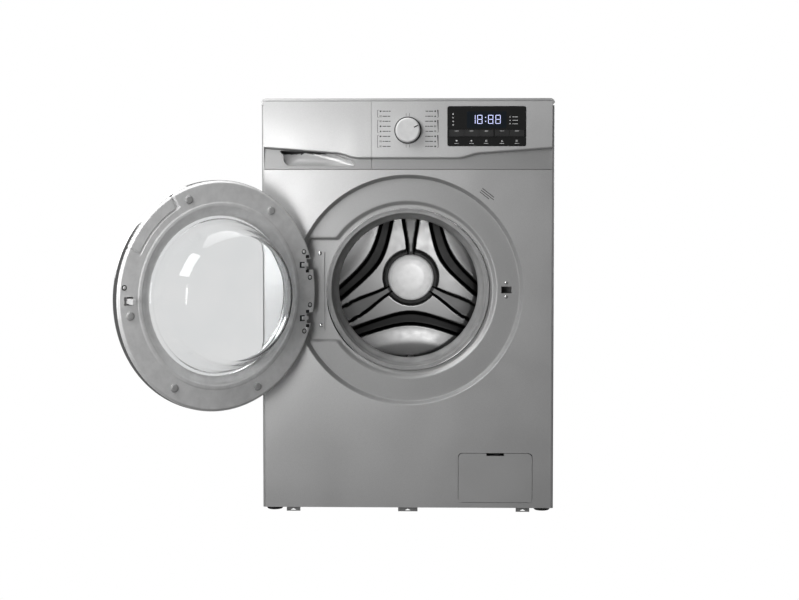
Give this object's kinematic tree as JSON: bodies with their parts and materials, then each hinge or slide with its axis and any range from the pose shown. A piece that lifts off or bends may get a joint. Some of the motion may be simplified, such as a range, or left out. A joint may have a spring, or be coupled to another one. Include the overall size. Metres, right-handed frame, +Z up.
{
  "type": "front load washing machine",
  "caption": "Front loading washing machine in silver with its round door standing open, detergent drawer, program knob, display and sprung drum unit.",
  "frame": {"origin": "middle of the footprint at floor level, measured with the door open at its stop", "axes": "+Z up through the worktop, +Y out of the back, X to the right seen from the front"},
  "size_m": [0.8424, 0.8984, 0.85],
  "materials": {
    "silver_paint": "satin silver enamel on pressed steel, fine metallic grain",
    "silver_plastic": "satin silver moulded plastic",
    "bright_trim": "bright plated ring",
    "grey_plastic": "mid grey moulded plastic",
    "pale_plastic": "pale grey moulded plastic",
    "black_gloss": "black glossy lens",
    "galvanised": "zinc coated sheet",
    "stainless": "polished stainless steel",
    "seal_rubber": "grey door seal rubber",
    "black_rubber": "black rubber",
    "concrete": "cast ballast",
    "steel": "machined and zinc plated steel",
    "circuit": "green circuit board",
    "door_glass": "clear pressed glass bowl"
  },
  "bodies": {
    "cabinet": {"side_panel_left": "silver_paint", "side_panel_right": "silver_paint", "front_panel": "silver_paint", "rear_panel": "galvanised", "rear_service_cover": "galvanised", "worktop": "silver_plastic", "base_tray": "grey_plastic", "control_fascia": "silver_plastic", "display_lens": "black_gloss", "control_board": "circuit", "dispenser_housing": "pale_plastic", "inlet_valve": "pale_plastic", "drain_outlet": "grey_plastic", "cord_gland": "black_rubber", "door_lock": "grey_plastic", "hinge_bracket": "steel", "door_gasket": "seal_rubber", "drain_pump": "grey_plastic", "damper_cylinder_left": "grey_plastic", "damper_cylinder_right": "grey_plastic", "suspension_spring_left": "steel", "suspension_spring_right": "steel", "sump_hose": "black_rubber"},
    "foot_1": {"foot_1": "black_rubber"},
    "foot_2": {"foot_2": "black_rubber"},
    "foot_3": {"foot_3": "black_rubber"},
    "foot_4": {"foot_4": "black_rubber"},
    "knob": {"program_knob": "silver_plastic"},
    "button_1": {"button_1": "grey_plastic"},
    "button_2": {"button_2": "grey_plastic"},
    "button_3": {"button_3": "grey_plastic"},
    "button_4": {"button_4": "grey_plastic"},
    "button_5": {"button_5": "grey_plastic"},
    "drawer": {"drawer_front": "silver_plastic", "drawer_tray": "pale_plastic"},
    "door": {"door_trim": "bright_trim", "door_frame": "silver_plastic", "door_glass": "door_glass", "door_hinge": "steel"},
    "hook": {"door_hook": "grey_plastic"},
    "hatch": {"filter_hatch": "silver_plastic"},
    "filter": {"pump_filter": "pale_plastic"},
    "impeller": {"pump_impeller": "grey_plastic"},
    "tub": {"tub_front": "pale_plastic", "tub_rear": "pale_plastic", "counterweight": "concrete", "heater": "steel", "motor": "steel", "damper_rod_left": "steel", "damper_rod_right": "steel", "drum_bearing": "steel", "drive_belt": "black_rubber"},
    "drum": {"drum_shell": "stainless", "drum_spider": "steel", "drum_pulley": "steel", "hub_cap": "pale_plastic", "drum_lifter_1": "grey_plastic", "drum_lifter_2": "grey_plastic", "drum_lifter_3": "grey_plastic"},
    "motor_wheel": {"motor_pulley": "steel"}
  },
  "joints": [
    {"name": "door_hinge", "type": "hinge", "parent": "cabinet", "child": "door", "pos_m": [-0.08361, -0.14174, 0.4585], "axis": [0, 0, 1], "range_deg": [0, 140]},
    {"name": "door_hook", "type": "hinge", "parent": "door", "child": "hook", "pos_m": [-0.39536, -0.41117, 0.4585], "axis": [0, 0, 1], "range_deg": [-6, 0], "stiffness_Nm_per_rad": 0.4},
    {"name": "drawer_slide", "type": "slide", "parent": "cabinet", "child": "drawer", "axis": [0, -1, 0], "range_m": [0, 0.2]},
    {"name": "knob_turn", "type": "hinge", "parent": "cabinet", "child": "knob", "pos_m": [0.12639, -0.13974, 0.785], "axis": [0, -1, 0], "continuous": true},
    {"name": "button_1_press", "type": "slide", "parent": "cabinet", "child": "button_1", "axis": [0, 1, 0], "range_m": [0, 0.0015], "stiffness_N_per_m": 700, "springref_m": -0.001},
    {"name": "button_2_press", "type": "slide", "parent": "cabinet", "child": "button_2", "axis": [0, 1, 0], "range_m": [0, 0.0015], "stiffness_N_per_m": 700, "springref_m": -0.001},
    {"name": "button_3_press", "type": "slide", "parent": "cabinet", "child": "button_3", "axis": [0, 1, 0], "range_m": [0, 0.0015], "stiffness_N_per_m": 700, "springref_m": -0.001},
    {"name": "button_4_press", "type": "slide", "parent": "cabinet", "child": "button_4", "axis": [0, 1, 0], "range_m": [0, 0.0015], "stiffness_N_per_m": 700, "springref_m": -0.001},
    {"name": "button_5_press", "type": "slide", "parent": "cabinet", "child": "button_5", "axis": [0, 1, 0], "range_m": [0, 0.0015], "stiffness_N_per_m": 700, "springref_m": -0.001},
    {"name": "hatch_hinge", "type": "hinge", "parent": "cabinet", "child": "hatch", "pos_m": [0.30639, -0.12614, 0.0252], "axis": [1, 0, 0], "range_deg": [0, 90]},
    {"name": "filter_turn", "type": "hinge", "parent": "cabinet", "child": "filter", "pos_m": [0.30639, -0.09974, 0.072], "axis": [0, -1, 0], "range_deg": [-90, 0]},
    {"name": "impeller_spin", "type": "hinge", "parent": "cabinet", "child": "impeller", "pos_m": [0.30639, -0.03474, 0.072], "axis": [0, 1, 0], "continuous": true},
    {"name": "foot_1_level", "type": "slide", "parent": "cabinet", "child": "foot_1", "axis": [0, 0, -1], "range_m": [0, 0.015]},
    {"name": "foot_2_level", "type": "slide", "parent": "cabinet", "child": "foot_2", "axis": [0, 0, -1], "range_m": [0, 0.015]},
    {"name": "foot_3_level", "type": "slide", "parent": "cabinet", "child": "foot_3", "axis": [0, 0, -1], "range_m": [0, 0.015]},
    {"name": "foot_4_level", "type": "slide", "parent": "cabinet", "child": "foot_4", "axis": [0, 0, -1], "range_m": [0, 0.015]},
    {"name": "tub_bounce", "type": "slide", "parent": "cabinet", "child": "tub", "axis": [0, 0, 1], "range_m": [-0.008, 0.008], "stiffness_N_per_m": 11000, "springref_m": 0.0282, "deforming": ["suspension_spring_left", "suspension_spring_right", "sump_hose"]},
    {"name": "drum_spin", "type": "hinge", "parent": "tub", "child": "drum", "pos_m": [0.12639, 0.13026, 0.4585], "axis": [0, 1, 0], "continuous": true},
    {"name": "motor_spin", "type": "hinge", "parent": "tub", "child": "motor_wheel", "pos_m": [0.12639, 0.38426, 0.12], "axis": [0, 1, 0], "continuous": true}
  ],
  "couplings": [
    {"joint": "motor_spin", "follows": "drum_spin", "ratio": 13.333}
  ]
}
